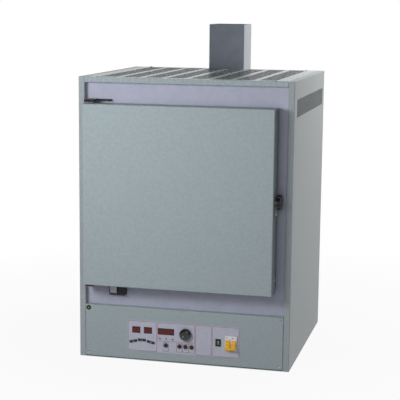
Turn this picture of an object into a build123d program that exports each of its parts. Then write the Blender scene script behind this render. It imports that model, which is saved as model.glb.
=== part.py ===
from build123d import *
import os

os.makedirs("parts", exist_ok=True)

# Muffle furnace, in millimetres. X runs to the right, Y from front to back and Z up.
# The origin is the middle of the casing's footprint, on the floor.

# Casing
casing_width = 630
casing_depth = 575
casing_height = 830
sheet = 1.5
bend = 2
edge_flange = 18
inner_flange = 20
front_recess = 20
lip_height = 16
sheet_gap = 0.3
panel_height = 155.5
panel_rise = 3
panel_gap = 1
shelf_height = 170

# Vent slots
column_count = 8
cover_slot_margin = 37.2
row_count = 33
row_pitch = 16
cover_slot_length = 50
cover_slot_width = 10
side_slot_count = 40
side_slot_pitch = 12.5
side_slot_width = 7
side_slot_height = 51
side_slot_drop = 53
side_slot_shift = 6.5
door_slot_count = 31
door_slot_pitch = 12
door_slot_length = 5
door_slot_width = 2.5
rear_slot_count = 14
rear_slot_pitch = 16
rear_slot_height = 60
rear_slot_centre = 85

# Chamber, on the door's centre line
chamber_drop = 1.5
chamber_width = 352
chamber_height = 322
chamber_depth = 415
muffle_wall = 20
jacket_inset = 12.7
jacket_headroom = 69
rear_lagging = 65
jacket_sheet = 1
fit = 0.3
heater_thickness = 14
heater_front = 66
groove_radius = 5.2
groove_margin = 53
groove_count = 5
coil_end = 2
coil_radius = 5
hearth_thickness = 14

# Exhaust
duct_width = 116
duct_depth = 115
duct_rise = 143
duct_foot = 50
duct_ear = 18
exhaust_drop = 43
exhaust_radius = 20
exhaust_wall = 3

# Thermocouple
sheath_x = 55
sheath_drop = 53
sheath_radius = 4
sheath_reach = 25
head_size = 30

# Door
door_left_margin = 30
door_right_margin = 44
door_top_margin = 57.5
door_bottom_margin = 60.5
door_pan_depth = 44
door_front = 57
door_liner_depth = 45.5
door_liner_back = 5
liner_inset = 0.3
door_edge_radius = 3
plug_margin = 12
plug_reach = 31.5
gasket_width = 9
gasket_margin = 20

# Hinge
pin_inset = 5
pin_forward = 20.5
pin_radius = 4
pin_head_radius = 6
pin_head_height = 3
bush_radius = 5.5
running_gap = 0.05
fixed_gap = 0.02
lug_thickness = 4
lug_width = 27
lug_margin = 9
lug_reach = 11
lug_corner = 4
lug_gap = 0.5
bar_thickness = 5
bar_length = 69
bar_width = 16

# Latch
knob_radius = 21.5
knob_lobes = 8
knob_flute = 6
knob_length = 12
knob_cap = 4
latch_y_forward = 20
shaft_radius = 5
shaft_depth = 18
hook_radius = 30
hook_thickness = 3
hook_band = 5
hook_gap = 0.6
hook_heel = 20
hook_toe = 14
keeper_radius = 3
keeper_plate = 3
keeper_width = 20
keeper_foot = 16
sleeve_radius = 8
bush_length = 8
bush_flange = 1

# Interlock switch
switch_inset = 85
switch_width = 49.5
switch_bottom = 191.5
switch_height = 29
switch_depth = 16.5
plunger_radius = 3
plunger_seat = 8
plunger_travel = 3
tab_inset = 75
tab_width = 20
tab_bottom = 198.5
tab_clearance = 5
tab_foot = 10

# Control faceplate and what stands in it
faceplate_x = 1.5
faceplate_z = 74
faceplate_width = 337
faceplate_height = 93
faceplate_thickness = 1
small_display_xs = (-140.3, -104.6)
wide_display_x = -49.7
display_z = 92
display_height = 19
small_display_width = 24.5
wide_display_width = 49
display_proud = 0.3
lamp_xs = (-68, -49.5, -30)
lamp_z = 70.5
lamp_radius = 2
lamp_proud = 1
key_centres = ((-149, 57), (-123, 62), (-96, 57))
key_tilts = (13, 0, -13)
key_width = 24
key_height = 7
key_proud = 1.6
key_rim = 1.2
key_corner = 1.5
key_travel = 1
collar_gap = 0.2
collar_thickness = 1.2
stem_radius = 1.5
contact_height = 3.5
contact_size = 6
button_xs = (-49.6, -8.8, 9.4, 27.6)
button_z = 51
button_radius = 4.8
bezel_radius = 6.6
bezel_height = 1.4
button_proud = 3.6
button_travel = 2
dial_x = 10
dial_z = 89
dial_radius = 17.5
dial_height = 14
dial_gap = 0.8
dial_shaft_radius = 3
pot_radius = 12
pot_depth = 12
pot_bush_radius = 5
rocker_x = 107
rocker_z = 71.5
rocker_width = 16.3
rocker_height = 21.7
rocker_rim = 1.6
rocker_wall = 1.1
rocker_tilt = 12
rocker_depth = 16
rocker_gap = 0.3
rocker_pivot_depth = 1
pivot_radius = 1.5
breaker_x = 145
breaker_z = 72.2
breaker_width = 35
breaker_nose = 44
breaker_proud = 4
breaker_body_height = 82
breaker_depth = 64
drum_radius = 9.5
drum_depth = 4
drum_gap = 0.5
lever_length = 23
lever_thickness = 5
lever_angle = 48
lever_width = 12.5
tie_height = 5

# Boards and power parts inside the panel bay
board_width = 196
board_height = 88
board_x = -62
board_thickness = 1.6
standoff_length = 14
standoff_radius = 3
board_parts_depth = 16
relay_x = -60
relay_width = 28
relay_height = 36
chip_x = 10
chip_rise = 10
chip_width = 40
chip_height = 22
can_x = 62
can_drop = 8
can_radius = 9
rail_height = 35
rail_length = 60
rail_depth = 7
rail_thickness = 1
bracket_foot = 20
transformer_inset = 125
transformer_y = -120
transformer_size = 76
regulator_x = 20
regulator_y = -90
sink_base = 6
sink_length = 90
sink_height = 100
fin_length = 34
fin_thickness = 2
fin_count = 9
terminal_y = 225
terminal_length = 62
gland_inset = 85
gland_z = 60
gland_radius = 5
gland_wall = 3
gland_head = 8
gland_cap = 10
gland_thread = 10

# Screws
screw_head_radius = 4
screw_head_height = 2
screw_shank_radius = 2
screw_length = 8
earth_head_radius = 3.2
panel_screw_inset = 9.5
cover_screw_inset = 37
cover_screw_back = 9
rear_screw_inset = 9
rear_screw_margin = 60
ear_screw_margin = 30
door_screw_high = 60
door_screw_low = 42

front_y = -casing_depth / 2
rear_y = casing_depth / 2
side_x = casing_width / 2
stile_x = side_x - edge_flange
plate_y = front_y + front_recess
rear_sheet_y = rear_y - sheet
rail_z = casing_height - lip_height
wall_x = side_x - sheet
panel_top = panel_rise + panel_height
plate_back = plate_y + sheet
cover_x = stile_x - sheet_gap
column_pitch = 2 * (cover_x - cover_slot_margin - cover_slot_length / 2) / (column_count - 1)
door_left = -side_x + door_left_margin
door_right = side_x - door_right_margin
door_width = door_right - door_left
door_bottom = shelf_height + door_bottom_margin
door_top = rail_z - door_top_margin
door_height = door_top - door_bottom
door_z = (door_bottom + door_top) / 2
chamber_x = (door_left + door_right) / 2
chamber_z = door_z - chamber_drop
groove_pitch = (chamber_height - 2 * groove_margin) / (groove_count - 1)
exhaust_z = chamber_z + chamber_height / 2 - exhaust_drop
sheath_z = chamber_z + chamber_height / 2 - sheath_drop
duct_bottom = exhaust_z - duct_foot
duct_top = casing_height + duct_rise
switch_x = door_left + switch_inset
tab_x = door_left + tab_inset
gland_x = side_x - gland_inset
transformer_x = -side_x + transformer_inset
door_face_y = front_y - door_front
pan_back_y = door_face_y + door_pan_depth
liner_back_y = plate_y - door_liner_back
pin_x = door_left + pin_inset
pin_y = front_y - pin_forward
latch_y = front_y - latch_y_forward
face_y = front_y - faceplate_thickness
panel_back = front_y + sheet


def facing(y):
    """Sketch plane at depth y whose normal points at the viewer, with X right and Z up."""
    return Plane.XZ.offset(-y)


def across(x):
    """Sketch plane at x whose normal points right, with Y and Z as its axes."""
    return Plane.YZ.offset(x)


def turned(x, y, z, angle=0):
    """Sketch plane through a point, whose normal points right, turned about it by an angle."""
    return Plane(origin=(x, y, z), x_dir=Vector(0, 1, 0).rotate(Axis.X, angle), z_dir=(1, 0, 0))


def folded(points, thickness, side):
    """Section of a folded sheet: its outer line with round bends, thickened to one side."""
    with BuildSketch() as section:
        with BuildLine():
            FilletPolyline(*points, radius=bend)
            offset(amount=thickness, side=side)
        make_face()
    return section.sketch


def key_section(extra):
    """The three slim keys' outlines on their arc, each grown by extra all round."""
    with BuildSketch() as section:
        for centre, tilt in zip(key_centres, key_tilts):
            with Locations(Location((centre[0], centre[1], 0), (0, 0, tilt))):
                Rectangle(key_width + 2 * extra, key_height + 2 * extra)
    return section.sketch


def panel_cutouts(extra):
    """Openings that the control panel and its faceplate share."""
    with BuildSketch() as section:
        with Locations(*[(x, display_z) for x in small_display_xs]):
            Rectangle(small_display_width + 2 * extra, display_height + 2 * extra)
        with Locations((wide_display_x, display_z)):
            Rectangle(wide_display_width + 2 * extra, display_height + 2 * extra)
        with Locations(*[(x, lamp_z) for x in lamp_xs]):
            Circle(lamp_radius + extra)
        add(key_section(extra))
        with Locations(*[(x, button_z) for x in button_xs]):
            Circle(button_radius + 2 * extra)
        with Locations((dial_x, dial_z)):
            Circle(pot_bush_radius + extra)
        with Locations((rocker_x, rocker_z)):
            Rectangle(rocker_width - 2 * rocker_wall + 2 * extra, rocker_height - 2 * rocker_wall + 2 * extra)
        with Locations((breaker_x, breaker_z)):
            Rectangle(breaker_width + 2 * extra, breaker_nose + 2 * extra)
    return section.sketch


panel_screw_x = stile_x - panel_screw_inset
cover_screw_x = stile_x - cover_screw_inset
cover_screw_ys = (front_y + cover_screw_back, rear_y - cover_screw_back)
cover_places = [(x, y) for x in (-cover_screw_x, cover_screw_x) for y in cover_screw_ys]
rear_screw_x = side_x - rear_screw_inset
rear_screw_zs = (rear_screw_margin, casing_height / 2, casing_height - rear_screw_margin)
rear_places = [(z, x) for x in (-rear_screw_x, rear_screw_x) for z in rear_screw_zs]

# Side panels: one folded sheet each, with the front edge, top edge and rear edge turned in
with BuildPart() as left_side_panel:
    with BuildSketch():
        add(folded([(-stile_x, rear_sheet_y), (-side_x, rear_sheet_y), (-side_x, front_y),
                    (-stile_x, front_y), (-stile_x, plate_y)], sheet, Side.LEFT))
    extrude(amount=casing_height)
    with BuildSketch(Plane.XY.offset(casing_height)) as top_flange:
        with Locations((-side_x + edge_flange / 2, (front_y + rear_sheet_y) / 2)):
            Rectangle(edge_flange, casing_depth - sheet)
        fillet(top_flange.vertices().sort_by(Axis.X)[:2], bend)
    extrude(amount=-sheet)
    fillet(left_side_panel.edges().filter_by(Axis.Y).group_by(Axis.Z)[-1].sort_by(Axis.X)[0], bend / 2)
    # Tabs under the cover's corners that its screws go into
    with BuildSketch(Plane.XY.offset(casing_height - sheet)):
        for y in cover_screw_ys:
            with Locations((-wall_x + (wall_x - cover_screw_x + screw_length) / 2, y)):
                Rectangle(wall_x - cover_screw_x + screw_length, 2 * cover_screw_back - 6 * sheet)
            with Locations((-cover_screw_x, y)):
                Circle(screw_shank_radius + fit, mode=Mode.SUBTRACT)
    extrude(amount=-sheet)
    with BuildSketch(across(-side_x)):
        with Locations((side_slot_shift, casing_height - side_slot_drop - side_slot_height / 2)):
            with GridLocations(side_slot_pitch, 1, side_slot_count, 1):
                Rectangle(side_slot_width, side_slot_height)
    extrude(amount=2 * sheet, mode=Mode.SUBTRACT)
    with BuildSketch(facing(rear_sheet_y)):
        with Locations(*[(-rear_screw_x, z) for z in rear_screw_zs]):
            Circle(screw_shank_radius + fit)
    extrude(amount=2 * sheet, mode=Mode.SUBTRACT)
    # Tabs that the control panel's corner screws go into
    with BuildSketch(facing(panel_back)):
        for z in (panel_rise + panel_screw_inset, panel_top - panel_screw_inset):
            with Locations((-panel_screw_x, z)):
                Rectangle(2 * panel_screw_inset, 12)
                Circle(screw_shank_radius + fit, mode=Mode.SUBTRACT)
    extrude(amount=-sheet)
left_side_panel.part.label = "left_side_panel"
export_step(left_side_panel.part, "parts/left_side_panel.step")

with BuildPart() as right_side_panel:
    mirror(left_side_panel.part, about=Plane.YZ)
right_side_panel.part.label = "right_side_panel"
export_step(right_side_panel.part, "parts/right_side_panel.step")

# Top cover: sits between the side panels' top edges, with a lip down the front and the back
with BuildPart() as top_cover:
    with BuildSketch(across(0)):
        add(folded([(plate_y - sheet_gap, rail_z), (front_y, rail_z), (front_y, casing_height),
                    (rear_sheet_y - sheet_gap, casing_height), (rear_sheet_y - sheet_gap, rail_z)],
                   sheet, Side.RIGHT))
    extrude(amount=stile_x - sheet_gap, both=True)
    with BuildSketch(Plane.XY.offset(casing_height)):
        with GridLocations(column_pitch, row_pitch, column_count, row_count):
            Rectangle(cover_slot_length, cover_slot_width)
    extrude(amount=-2 * sheet, mode=Mode.SUBTRACT)
    with Locations(*[(x, y, casing_height) for x, y in cover_places]):
        Hole(screw_shank_radius + fit, 2 * sheet)
top_cover.part.label = "top_cover"
export_step(top_cover.part, "parts/top_cover.step")

# Front plate: pale recessed sheet behind the door, open at the chamber's mouth
with BuildPart() as front_plate:
    with BuildSketch(facing(plate_y)):
        with Locations((0, (panel_top + rail_z) / 2)):
            Rectangle(2 * stile_x + edge_flange, rail_z - panel_top + edge_flange)
        with Locations((chamber_x, chamber_z)):
            Rectangle(chamber_width, chamber_height, mode=Mode.SUBTRACT)
    extrude(amount=-sheet)
front_plate.part.label = "front_plate"
export_step(front_plate.part, "parts/front_plate.step")

# Control panel: channel with its top and bottom edges turned back to the front plate's depth
with BuildPart() as control_panel:
    with BuildSketch(across(0)):
        add(folded([(plate_y - sheet_gap, panel_top), (front_y, panel_top), (front_y, panel_rise),
                    (plate_y, panel_rise)], sheet, Side.LEFT))
    extrude(amount=stile_x - panel_gap, both=True)
    with BuildSketch(facing(front_y)):
        add(panel_cutouts(fit))
        with Locations(*[(x, z) for x in (-panel_screw_x, panel_screw_x)
                         for z in (panel_rise + panel_screw_inset, panel_top - panel_screw_inset)]):
            Circle(screw_shank_radius + fit)
    extrude(amount=-2 * sheet, mode=Mode.SUBTRACT)
control_panel.part.label = "control_panel"
export_step(control_panel.part, "parts/control_panel.step")

# Base pan: floor of the casing, with its edges turned up inside the side panels and the rear cover
pan_lip = 25
pan_x = wall_x - sheet_gap
pan_front = plate_y + sheet_gap
pan_rear = rear_sheet_y - sheet - sheet_gap
with BuildPart() as base_pan:
    with BuildSketch(Plane.XY):
        with Locations((0, (pan_front + pan_rear) / 2)):
            Rectangle(2 * pan_x, pan_rear - pan_front)
        with Locations((0, (front_y + pan_front) / 2)):
            Rectangle(2 * (stile_x - panel_gap), pan_front - front_y)
    extrude(amount=sheet)
    with BuildSketch(Plane.XY):
        with Locations((0, (pan_front + pan_rear) / 2)):
            Rectangle(2 * pan_x, pan_rear - pan_front)
            Rectangle(2 * (pan_x - sheet), pan_rear - pan_front - 2 * sheet, mode=Mode.SUBTRACT)
        with Locations((0, pan_front)):
            Rectangle(2 * (pan_x - sheet), 4 * sheet, mode=Mode.SUBTRACT)
    extrude(amount=pan_lip)
base_pan.part.label = "base_pan"
export_step(base_pan.part, "parts/base_pan.step")

# Rear cover: flat sheet with cooling slots, the exhaust hole and the gland hole
ear_top = casing_height - ear_screw_margin / 2
ear_screw_x = duct_width / 2 + duct_ear / 2
duct_places = [(z, chamber_x + x) for x in (-ear_screw_x, ear_screw_x)
               for z in (duct_bottom + ear_screw_margin, ear_top - ear_screw_margin)]
with BuildPart() as rear_cover:
    with BuildSketch(facing(rear_y)):
        with Locations((0, casing_height / 2)):
            Rectangle(casing_width, casing_height)
        with Locations((0, rear_slot_centre)):
            with GridLocations(rear_slot_pitch, 1, rear_slot_count, 1):
                Rectangle(side_slot_width, rear_slot_height, mode=Mode.SUBTRACT)
        with Locations((chamber_x, exhaust_z)):
            Circle(exhaust_radius + fit, mode=Mode.SUBTRACT)
        with Locations((gland_x, gland_z)):
            Circle(gland_radius + gland_wall + fit, mode=Mode.SUBTRACT)
        with Locations(*[(x, z) for z, x in rear_places + duct_places]):
            Circle(screw_shank_radius + fit, mode=Mode.SUBTRACT)
    extrude(amount=sheet)
rear_cover.part.label = "rear_cover"
export_step(rear_cover.part, "parts/rear_cover.step")

# Inner shelf: carries the hot part over the panel bay
with BuildPart() as inner_shelf:
    with BuildSketch(facing(pan_rear)):
        add(folded([(-pan_x, shelf_height - inner_flange), (-pan_x, shelf_height), (pan_x, shelf_height),
                    (pan_x, shelf_height - inner_flange)], sheet, Side.RIGHT))
    extrude(amount=pan_rear - plate_back - sheet_gap)
inner_shelf.part.label = "inner_shelf"
export_step(inner_shelf.part, "parts/inner_shelf.step")

# Insulation jacket: thin sheet box round the fibre, open towards the front plate
muffle_half_x = chamber_width / 2 + muffle_wall
muffle_half_z = chamber_height / 2 + muffle_wall
muffle_rear = plate_back + chamber_depth + muffle_wall
jacket_half_x = door_width / 2 - jacket_inset
jacket_top = rail_z - jacket_headroom
jacket_rear = muffle_rear + rear_lagging
with BuildPart() as insulation_jacket:
    with BuildSketch(Plane.XY.offset(shelf_height)):
        with Locations((chamber_x, (plate_back + jacket_rear) / 2)):
            Rectangle(2 * jacket_half_x, jacket_rear - plate_back)
    extrude(amount=jacket_top - shelf_height)
    offset(amount=-jacket_sheet, openings=insulation_jacket.faces().sort_by(Axis.Y)[0])
    with BuildSketch(facing(jacket_rear)):
        with Locations((chamber_x, exhaust_z)):
            Circle(exhaust_radius + fit)
        with Locations((sheath_x, sheath_z)):
            Circle(sheath_radius + fit)
    extrude(amount=2 * jacket_sheet, mode=Mode.SUBTRACT)
insulation_jacket.part.label = "insulation_jacket"
export_step(insulation_jacket.part, "parts/insulation_jacket.step")

# Muffle insulation: fibre block with a cavity for the muffle
lagging_bottom = shelf_height + jacket_sheet
lagging_top = jacket_top - jacket_sheet
with BuildPart() as muffle_insulation:
    with BuildSketch(Plane.XY.offset(lagging_bottom + fit)):
        with Locations((chamber_x, (plate_back + jacket_rear - jacket_sheet) / 2)):
            Rectangle(2 * (jacket_half_x - jacket_sheet - fit),
                      jacket_rear - jacket_sheet - plate_back - 2 * fit)
    extrude(amount=lagging_top - lagging_bottom - 2 * fit)
    with BuildSketch(facing(plate_y)):
        with Locations((chamber_x, chamber_z)):
            Rectangle(2 * (muffle_half_x + fit), 2 * (muffle_half_z + fit))
    extrude(amount=plate_y - muffle_rear - fit, mode=Mode.SUBTRACT)
    with BuildSketch(facing(jacket_rear)):
        with Locations((chamber_x, exhaust_z)):
            Circle(exhaust_radius + fit)
        with Locations((sheath_x, sheath_z)):
            Circle(sheath_radius + fit)
    extrude(amount=jacket_rear - muffle_rear + muffle_wall, mode=Mode.SUBTRACT)
muffle_insulation.part.label = "muffle_insulation"
export_step(muffle_insulation.part, "parts/muffle_insulation.step")

# Muffle chamber: ceramic box, open at the front, with the exhaust and sensor holes in its back wall
mouth_y = plate_back + fit
with BuildPart() as muffle_chamber:
    with BuildSketch(facing(mouth_y)):
        with Locations((chamber_x, chamber_z)):
            Rectangle(2 * muffle_half_x, 2 * muffle_half_z)
    extrude(amount=mouth_y - muffle_rear)
    with BuildSketch(facing(mouth_y)):
        with Locations((chamber_x, chamber_z)):
            Rectangle(chamber_width, chamber_height)
    extrude(amount=mouth_y - muffle_rear + muffle_wall, mode=Mode.SUBTRACT)
    with BuildSketch(facing(muffle_rear)):
        with Locations((chamber_x, exhaust_z)):
            Circle(exhaust_radius + fit)
        with Locations((sheath_x, sheath_z)):
            Circle(sheath_radius + fit)
    extrude(amount=2 * muffle_wall, mode=Mode.SUBTRACT)
muffle_chamber.part.label = "muffle_chamber"
export_step(muffle_chamber.part, "parts/muffle_chamber.step")

# Heater plates: grooved ceramic slabs that stand against the muffle's side walls
muffle_floor = chamber_z - chamber_height / 2
heater_rear = muffle_rear - muffle_wall - fit
heater_y = plate_back + heater_front
heater_face = chamber_width / 2 - fit - heater_thickness
groove_x = heater_face + groove_radius
with BuildPart() as heater_plates:
    for side in (-1, 1):
        with BuildSketch(facing(heater_y)):
            with Locations((chamber_x + side * (heater_face + heater_thickness / 2), chamber_z)):
                Rectangle(heater_thickness, chamber_height - 2 * fit)
            with Locations((chamber_x + side * groove_x, chamber_z)):
                with GridLocations(1, groove_pitch, 1, groove_count):
                    Circle(groove_radius, mode=Mode.SUBTRACT)
            with Locations((chamber_x + side * heater_face, chamber_z)):
                with GridLocations(1, groove_pitch, 1, groove_count):
                    Rectangle(2 * groove_radius, 2 * groove_radius, mode=Mode.SUBTRACT)
        extrude(amount=heater_y - heater_rear)
heater_plates.part.label = "heater_plates"
export_step(heater_plates.part, "parts/heater_plates.step")

# Heater coils: the outer shape of each wound coil, lying in its groove
with BuildPart() as heater_coils:
    for side in (-1, 1):
        with BuildSketch(facing(heater_y + coil_end)):
            with Locations((chamber_x + side * groove_x, chamber_z)):
                with GridLocations(1, groove_pitch, 1, groove_count):
                    Circle(coil_radius)
        extrude(amount=heater_y + 2 * coil_end - heater_rear)
heater_coils.part.label = "heater_coils"
export_step(heater_coils.part, "parts/heater_coils.step")

# Hearth plate: slab on the muffle's floor that takes the load
with BuildPart() as hearth_plate:
    with BuildSketch(Plane.XY.offset(muffle_floor + fit)):
        with Locations((chamber_x, (heater_y + heater_rear) / 2)):
            Rectangle(2 * (heater_face - fit), heater_rear - heater_y)
    extrude(amount=hearth_thickness)
hearth_plate.part.label = "hearth_plate"
export_step(hearth_plate.part, "parts/hearth_plate.step")

# Exhaust tube: from the muffle's back wall into the duct
duct_front = rear_y
with BuildPart() as exhaust_tube:
    with BuildSketch(facing(muffle_rear - muffle_wall)):
        with Locations((chamber_x, exhaust_z)):
            Circle(exhaust_radius)
            Circle(exhaust_radius - exhaust_wall, mode=Mode.SUBTRACT)
    extrude(amount=muffle_rear - muffle_wall - duct_front - 4)
exhaust_tube.part.label = "exhaust_tube"
export_step(exhaust_tube.part, "parts/exhaust_tube.step")

# Exhaust duct: square sheet duct behind the casing, closed below and open at the top
with BuildPart() as exhaust_duct:
    with BuildSketch(Plane.XY.offset(duct_bottom)):
        with Locations((chamber_x, duct_front + duct_depth / 2)):
            Rectangle(duct_width, duct_depth)
    extrude(amount=duct_top - duct_bottom)
    offset(amount=-sheet, openings=exhaust_duct.faces().sort_by(Axis.Z)[-1])
    with BuildSketch(facing(duct_front)):
        with Locations((chamber_x, (duct_bottom + ear_top) / 2)):
            Rectangle(duct_width + 2 * duct_ear, ear_top - duct_bottom)
            Rectangle(duct_width - 2 * sheet, casing_height, mode=Mode.SUBTRACT)
    extrude(amount=-sheet)
    with BuildSketch(facing(duct_front)):
        with Locations((chamber_x, exhaust_z)):
            Circle(exhaust_radius + fit)
        with Locations(*[(x, z) for z, x in duct_places]):
            Circle(screw_shank_radius + fit)
    extrude(amount=-2 * sheet, mode=Mode.SUBTRACT)
exhaust_duct.part.label = "exhaust_duct"
export_step(exhaust_duct.part, "parts/exhaust_duct.step")

# Thermocouple: ceramic sheath through the back wall, with its terminal head on the jacket
head_front = jacket_rear
with BuildPart() as thermocouple_sheath:
    with BuildSketch(facing(muffle_rear - muffle_wall - sheath_reach)):
        with Locations((sheath_x, sheath_z)):
            Circle(sheath_radius)
    extrude(amount=muffle_rear - muffle_wall - sheath_reach - head_front - 10)
thermocouple_sheath.part.label = "thermocouple_sheath"
export_step(thermocouple_sheath.part, "parts/thermocouple_sheath.step")

with BuildPart() as thermocouple_head:
    with BuildSketch(facing(head_front)):
        with Locations((sheath_x, sheath_z)):
            RectangleRounded(head_size, head_size, 4)
    extrude(amount=-24)
    with BuildSketch(facing(head_front)):
        with Locations((sheath_x, sheath_z)):
            Circle(sheath_radius + fit)
    extrude(amount=-10 - fit, mode=Mode.SUBTRACT)
thermocouple_head.part.label = "thermocouple_head"
export_step(thermocouple_head.part, "parts/thermocouple_head.step")

# Door pan: the painted outer shell of the door, open at the back
latch_z = door_z
door_screw_y = pan_back_y - 1.5 * screw_head_radius
door_screw_places = ((door_screw_y, door_top - door_screw_high), (door_screw_y, door_bottom + door_screw_low))
with BuildPart() as door_pan:
    with BuildSketch(facing(door_face_y)):
        with Locations((chamber_x, door_z)):
            Rectangle(door_width, door_height)
    extrude(amount=-door_pan_depth)
    fillet(door_pan.faces().sort_by(Axis.Y)[0].edges(), door_edge_radius)
    offset(amount=-sheet, openings=door_pan.faces().sort_by(Axis.Y)[-1])
    with BuildSketch(across(door_right)):
        with Locations((latch_y, latch_z)):
            Circle(sleeve_radius + fit)
        with Locations(*door_screw_places):
            Circle(screw_shank_radius + fit)
    extrude(amount=-2 * sheet, mode=Mode.SUBTRACT)
    with BuildSketch(Plane.XY.offset(door_top)):
        with Locations((chamber_x, door_face_y + 4 * door_edge_radius)):
            with GridLocations(door_slot_pitch, 1, door_slot_count, 1):
                Rectangle(door_slot_length, door_slot_width)
    extrude(amount=-2 * sheet, mode=Mode.SUBTRACT)
door_pan.part.label = "door_pan"
export_step(door_pan.part, "parts/door_pan.step")

# Door liner: inner shell that slides into the pan and carries the insulation and the gasket
liner_left = door_left + sheet + liner_inset
liner_right = door_right - sheet - liner_inset
liner_bottom = door_bottom + sheet + liner_inset
liner_top = door_top - sheet - liner_inset
plug_width = chamber_width - 2 * plug_margin
plug_height = chamber_height - 2 * plug_margin
with BuildPart() as door_liner:
    with BuildSketch(facing(liner_back_y)):
        with Locations((chamber_x, door_z)):
            Rectangle(liner_right - liner_left, liner_top - liner_bottom)
    extrude(amount=door_liner_depth)
    offset(amount=-sheet, openings=door_liner.faces().sort_by(Axis.Y)[0])
    with BuildSketch(facing(liner_back_y)):
        with Locations((chamber_x, chamber_z)):
            Rectangle(plug_width + 2 * fit, plug_height + 2 * fit)
    extrude(amount=2 * sheet, mode=Mode.SUBTRACT)
    with BuildSketch(across(liner_right)):
        with Locations((latch_y, latch_z)):
            Circle(sleeve_radius + fit)
        with Locations(*door_screw_places):
            Circle(screw_shank_radius + fit)
    extrude(amount=-2 * sheet, mode=Mode.SUBTRACT)
door_liner.part.label = "door_liner"
export_step(door_liner.part, "parts/door_liner.step")

# Door insulation: fibre slab that fills the door, with a plug that stands into the chamber's mouth
with BuildPart() as door_insulation:
    with BuildSketch(facing(liner_back_y - sheet - fit)):
        with Locations((chamber_x, door_z)):
            Rectangle(liner_right - liner_left - 2 * (sheet + fit),
                      liner_top - liner_bottom - 2 * (sheet + fit))
    extrude(amount=liner_back_y - sheet - fit - door_face_y - sheet - fit)
    with BuildSketch(facing(liner_back_y - sheet - fit)):
        with Locations((chamber_x, chamber_z)):
            Rectangle(plug_width, plug_height)
    extrude(amount=-plug_reach - sheet - fit)
    with BuildSketch(across(liner_right)):
        with Locations((latch_y, latch_z)):
            Circle(sleeve_radius + fit)
    extrude(amount=-shaft_depth - 2, mode=Mode.SUBTRACT)
    with BuildSketch(across(liner_right)):
        with Locations(*door_screw_places):
            Circle(screw_shank_radius + fit)
    extrude(amount=-screw_length, mode=Mode.SUBTRACT)
door_insulation.part.label = "door_insulation"
export_step(door_insulation.part, "parts/door_insulation.step")

# Door gasket: fibre seal round the mouth, on the back of the liner
with BuildPart() as door_gasket:
    with BuildSketch(facing(liner_back_y)):
        with Locations((chamber_x, chamber_z)):
            RectangleRounded(chamber_width + 2 * (gasket_margin + gasket_width),
                             chamber_height + 2 * (gasket_margin + gasket_width),
                             gasket_margin + gasket_width)
            RectangleRounded(chamber_width + 2 * gasket_margin, chamber_height + 2 * gasket_margin,
                             gasket_margin, mode=Mode.SUBTRACT)
    extrude(amount=-(door_liner_back - fit))
door_gasket.part.label = "door_gasket"
export_step(door_gasket.part, "parts/door_gasket.step")

# Hinges: a fixed bar on the front plate over a lug on the door's top edge, and their mirror image below
lug_top = door_top + lug_thickness
bar_bottom = lug_top + lug_gap
bar_top = bar_bottom + bar_thickness
hinge_left = pin_x - lug_margin
hinge_mirror = Plane.XY.offset(door_z)
with BuildPart() as hinge_brackets:
    with BuildSketch(Plane.XY.offset(bar_bottom)):
        with Locations((hinge_left + bar_length / 2, plate_y - bar_width / 2)):
            Rectangle(bar_length, bar_width)
        with Locations((hinge_left + lug_width / 2, (pin_y - lug_reach + plate_y) / 2)):
            Rectangle(lug_width, plate_y - pin_y + lug_reach)
        with Locations((pin_x, pin_y)):
            Circle(pin_radius + fixed_gap, mode=Mode.SUBTRACT)
    extrude(amount=bar_thickness)
    fillet(hinge_brackets.edges().filter_by(Axis.Z).group_by(Axis.Y)[0], lug_corner)
    mirror(about=hinge_mirror)
hinge_brackets.part.label = "hinge_brackets"
export_step(hinge_brackets.part, "parts/hinge_brackets.step")

with BuildPart() as hinge_lugs:
    with BuildSketch(Plane.XY.offset(door_top)):
        with Locations((hinge_left + lug_width / 2, (pin_y - lug_reach + pan_back_y) / 2)):
            Rectangle(lug_width, pan_back_y - pin_y + lug_reach)
        with Locations((pin_x, pin_y)):
            Circle(bush_radius + fixed_gap, mode=Mode.SUBTRACT)
    extrude(amount=lug_thickness)
    fillet(hinge_lugs.edges().filter_by(Axis.Z).group_by(Axis.Y)[0], lug_corner)
    mirror(about=hinge_mirror)
hinge_lugs.part.label = "hinge_lugs"
export_step(hinge_lugs.part, "parts/hinge_lugs.step")

# Hinge bushes: brass sleeves in the door's lugs
with BuildPart() as hinge_bushes:
    with BuildSketch(Plane.XY.offset(door_top)):
        with Locations((pin_x, pin_y)):
            Circle(bush_radius)
            Circle(pin_radius + running_gap, mode=Mode.SUBTRACT)
    extrude(amount=lug_thickness)
    mirror(about=hinge_mirror)
hinge_bushes.part.label = "hinge_bushes"
export_step(hinge_bushes.part, "parts/hinge_bushes.step")

# Hinge pins: headed brass pins, fixed in the bars and running in the bushes
with BuildPart() as hinge_pins:
    with BuildSketch(Plane.XY.offset(door_top + fit)):
        with Locations((pin_x, pin_y)):
            Circle(pin_radius)
    extrude(amount=bar_top - door_top - fit)
    with BuildSketch(Plane.XY.offset(bar_top)):
        with Locations((pin_x, pin_y)):
            Circle(pin_head_radius)
    extrude(amount=pin_head_height)
    fillet(hinge_pins.edges().group_by(Axis.Z)[-1], pin_head_height / 3)
    mirror(about=hinge_mirror)
hinge_pins.part.label = "hinge_pins"
export_step(hinge_pins.part, "parts/hinge_pins.step")

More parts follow.
